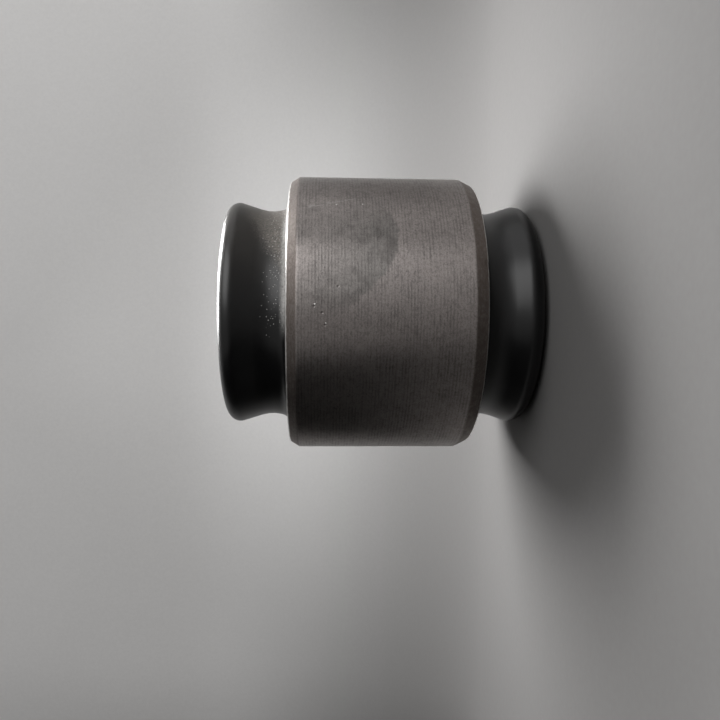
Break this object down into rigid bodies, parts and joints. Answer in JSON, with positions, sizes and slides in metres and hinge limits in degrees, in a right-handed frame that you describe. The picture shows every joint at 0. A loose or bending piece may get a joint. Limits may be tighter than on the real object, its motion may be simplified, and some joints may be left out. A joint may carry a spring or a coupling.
{
  "type": "rubber metal bush",
  "caption": "Bonded rubber bush: a chamfered steel outer sleeve, a rubber body with flared lips at both ends, and a thick steel inner sleeve for a bolt.",
  "frame": {"origin": "middle of the bolt bore, half way between the two ends of the inner sleeve", "axes": "+Z along the bolt bore, towards the end with the shorter lead chamfer and the longer rubber overhang; the bush stands on its lower end"},
  "size_m": [0.06, 0.06, 0.0666],
  "materials": {
    "outer_steel": "fine turned, dull grey, stained",
    "black_rubber": "moulded, satin",
    "inner_steel": "faced and bored"
  },
  "bodies": {
    "root": {"outer_sleeve": "outer_steel", "rubber_body": "black_rubber", "inner_sleeve": "inner_steel"}
  },
  "joints": []
}
